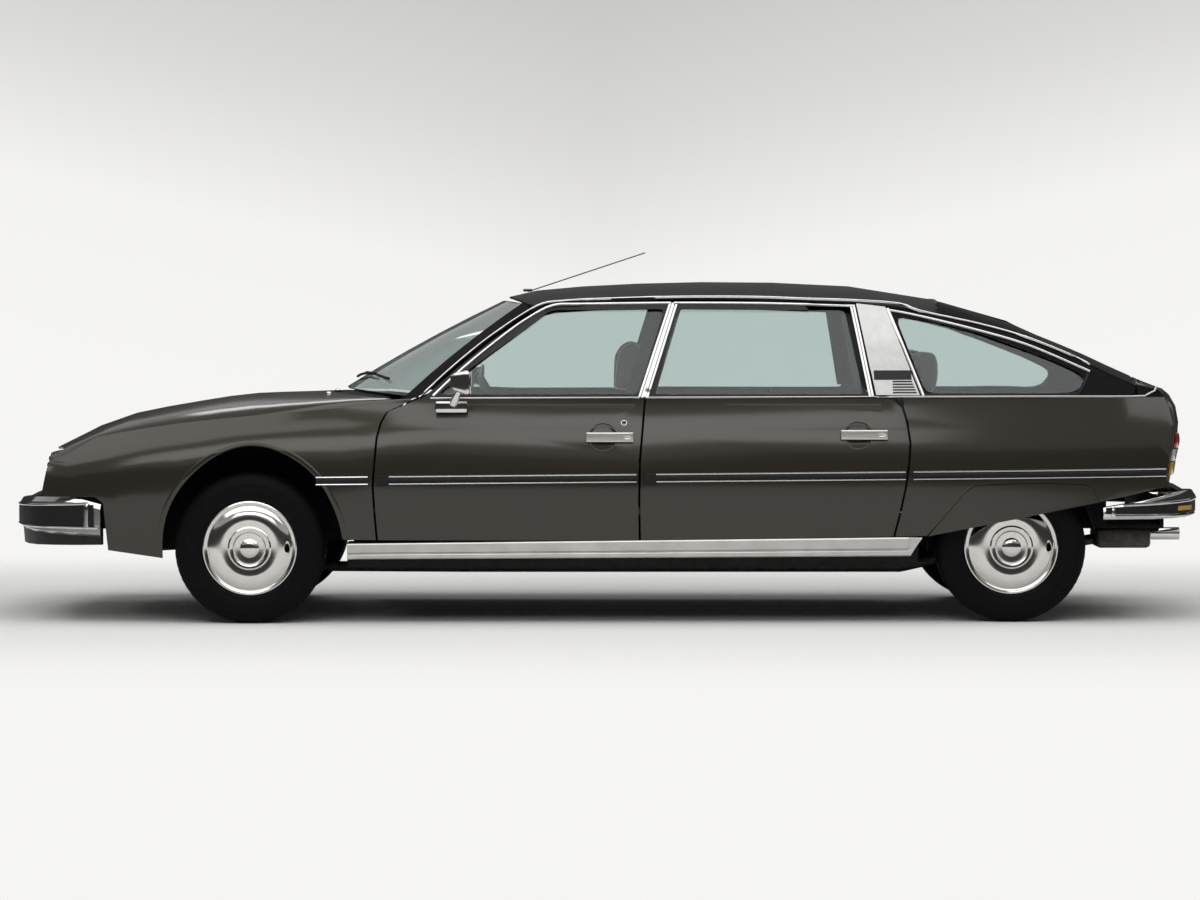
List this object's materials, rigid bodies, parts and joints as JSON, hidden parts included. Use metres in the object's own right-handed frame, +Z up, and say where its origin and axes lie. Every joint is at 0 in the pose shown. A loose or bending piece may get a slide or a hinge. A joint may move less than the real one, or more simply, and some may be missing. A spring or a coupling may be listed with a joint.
{
  "type": "four-door fastback saloon",
  "caption": "Long, low four-door fastback saloon with covered rear wheels, opening doors, bonnet and boot lid, and steered front wheels.",
  "frame": {"origin": "on the floor, at mid length and mid width", "axes": "+Z up, the nose towards -X, the left-hand side towards -Y"},
  "size_m": [4.92, 1.97, 1.5145],
  "materials": {
    "paint": "metallic olive brown paint",
    "vinyl": "grained near-black vinyl roof covering",
    "bright": "polished stainless steel",
    "tyre": "black rubber",
    "dark_metal": "satin black underseal",
    "glass": "lightly green tinted glass",
    "cloth": "grey-olive seat cloth",
    "red_lens": "red lamp lens",
    "clear_lens": "ribbed clear lamp glass",
    "black_plastic": "matt black plastic",
    "metal": "dull exhaust steel"
  },
  "bodies": {
    "body_shell": {"antenna": "black_plastic", "boot_tub": "dark_metal", "bulkhead": "dark_metal", "dashboard": "black_plastic", "engine": "dark_metal", "exhaust": "metal", "floor_pan": "dark_metal", "front_bumper": "bright", "front_frame": "dark_metal", "front_seat_left": "cloth", "front_seat_right": "cloth", "grille": "black_plastic", "headlamp_left": "clear_lens", "headlamp_right": "clear_lens", "parcel_shelf": "black_plastic", "quarter_glass_left": "glass", "quarter_glass_right": "glass", "quarter_left": "paint", "quarter_right": "paint", "rear_axle": "dark_metal", "rear_bumper": "bright", "rear_seat": "cloth", "rear_window": "glass", "roof": "vinyl", "steering_wheel": "black_plastic", "tail_lamp_left": "red_lens", "tail_lamp_right": "red_lens", "tail_panel": "paint", "wheel_cover_left": "paint", "wheel_cover_right": "paint", "windscreen": "glass", "wing_left": "paint", "wing_right": "paint"},
    "front_door_left": {"front_door_left": "paint", "front_door_glass_left": "glass", "mirror_left": "bright"},
    "rear_door_left": {"rear_door_left": "paint", "rear_door_glass_left": "glass"},
    "knuckle_left": {"knuckle_left": "dark_metal"},
    "front_wheel_left": {"front_wheel_left": "bright", "front_tyre_left": "tyre"},
    "rear_wheel_left": {"rear_wheel_left": "bright", "rear_tyre_left": "tyre"},
    "front_door_right": {"front_door_right": "paint", "front_door_glass_right": "glass", "mirror_right": "bright"},
    "rear_door_right": {"rear_door_right": "paint", "rear_door_glass_right": "glass"},
    "knuckle_right": {"knuckle_right": "dark_metal"},
    "front_wheel_right": {"front_wheel_right": "bright", "front_tyre_right": "tyre"},
    "rear_wheel_right": {"rear_wheel_right": "bright", "rear_tyre_right": "tyre"},
    "bonnet": {"bonnet": "paint"},
    "boot_lid": {"boot_lid": "paint"}
  },
  "joints": [
    {"name": "front_door_hinge_left", "type": "hinge", "parent": "body_shell", "child": "front_door_left", "pos_m": [-1.00611, -0.85504, 0.5625], "axis": [0, 0, -1], "range_deg": [0, 65]},
    {"name": "rear_door_hinge_left", "type": "hinge", "parent": "body_shell", "child": "rear_door_left", "pos_m": [0.07095, -0.84768, 0.5625], "axis": [0, 0, -1], "range_deg": [0, 65]},
    {"name": "steering_left", "type": "hinge", "parent": "body_shell", "child": "knuckle_left", "pos_m": [-1.452, -0.705, 0.306], "axis": [0, 0, 1], "range_deg": [-35, 35]},
    {"name": "front_wheel_spin_left", "type": "hinge", "parent": "knuckle_left", "child": "front_wheel_left", "pos_m": [-1.452, -0.76, 0.306], "axis": [0, 1, 0], "continuous": true},
    {"name": "rear_wheel_spin_left", "type": "hinge", "parent": "body_shell", "child": "rear_wheel_left", "pos_m": [1.643, -0.684, 0.306], "axis": [0, 1, 0], "continuous": true},
    {"name": "front_door_hinge_right", "type": "hinge", "parent": "body_shell", "child": "front_door_right", "pos_m": [-1.00611, 0.85504, 0.5625], "axis": [0, 0, 1], "range_deg": [0, 65]},
    {"name": "rear_door_hinge_right", "type": "hinge", "parent": "body_shell", "child": "rear_door_right", "pos_m": [0.07095, 0.84768, 0.5625], "axis": [0, 0, 1], "range_deg": [0, 65]},
    {"name": "steering_right", "type": "hinge", "parent": "body_shell", "child": "knuckle_right", "pos_m": [-1.452, 0.705, 0.306], "axis": [0, 0, 1], "range_deg": [-35, 35]},
    {"name": "front_wheel_spin_right", "type": "hinge", "parent": "knuckle_right", "child": "front_wheel_right", "pos_m": [-1.452, 0.76, 0.306], "axis": [0, 1, 0], "continuous": true},
    {"name": "rear_wheel_spin_right", "type": "hinge", "parent": "body_shell", "child": "rear_wheel_right", "pos_m": [1.643, 0.684, 0.306], "axis": [0, 1, 0], "continuous": true},
    {"name": "bonnet_hinge", "type": "hinge", "parent": "body_shell", "child": "bonnet", "pos_m": [-0.87323, 0, 0.876], "axis": [0, 1, 0], "range_deg": [0, 50]},
    {"name": "boot_lid_hinge", "type": "hinge", "parent": "body_shell", "child": "boot_lid", "pos_m": [2.18181, 0, 0.98295], "axis": [0, -1, 0], "range_deg": [0, 65]}
  ],
  "couplings": [
    {"joint": "steering_right", "follows": "steering_left", "ratio": 1}
  ]
}
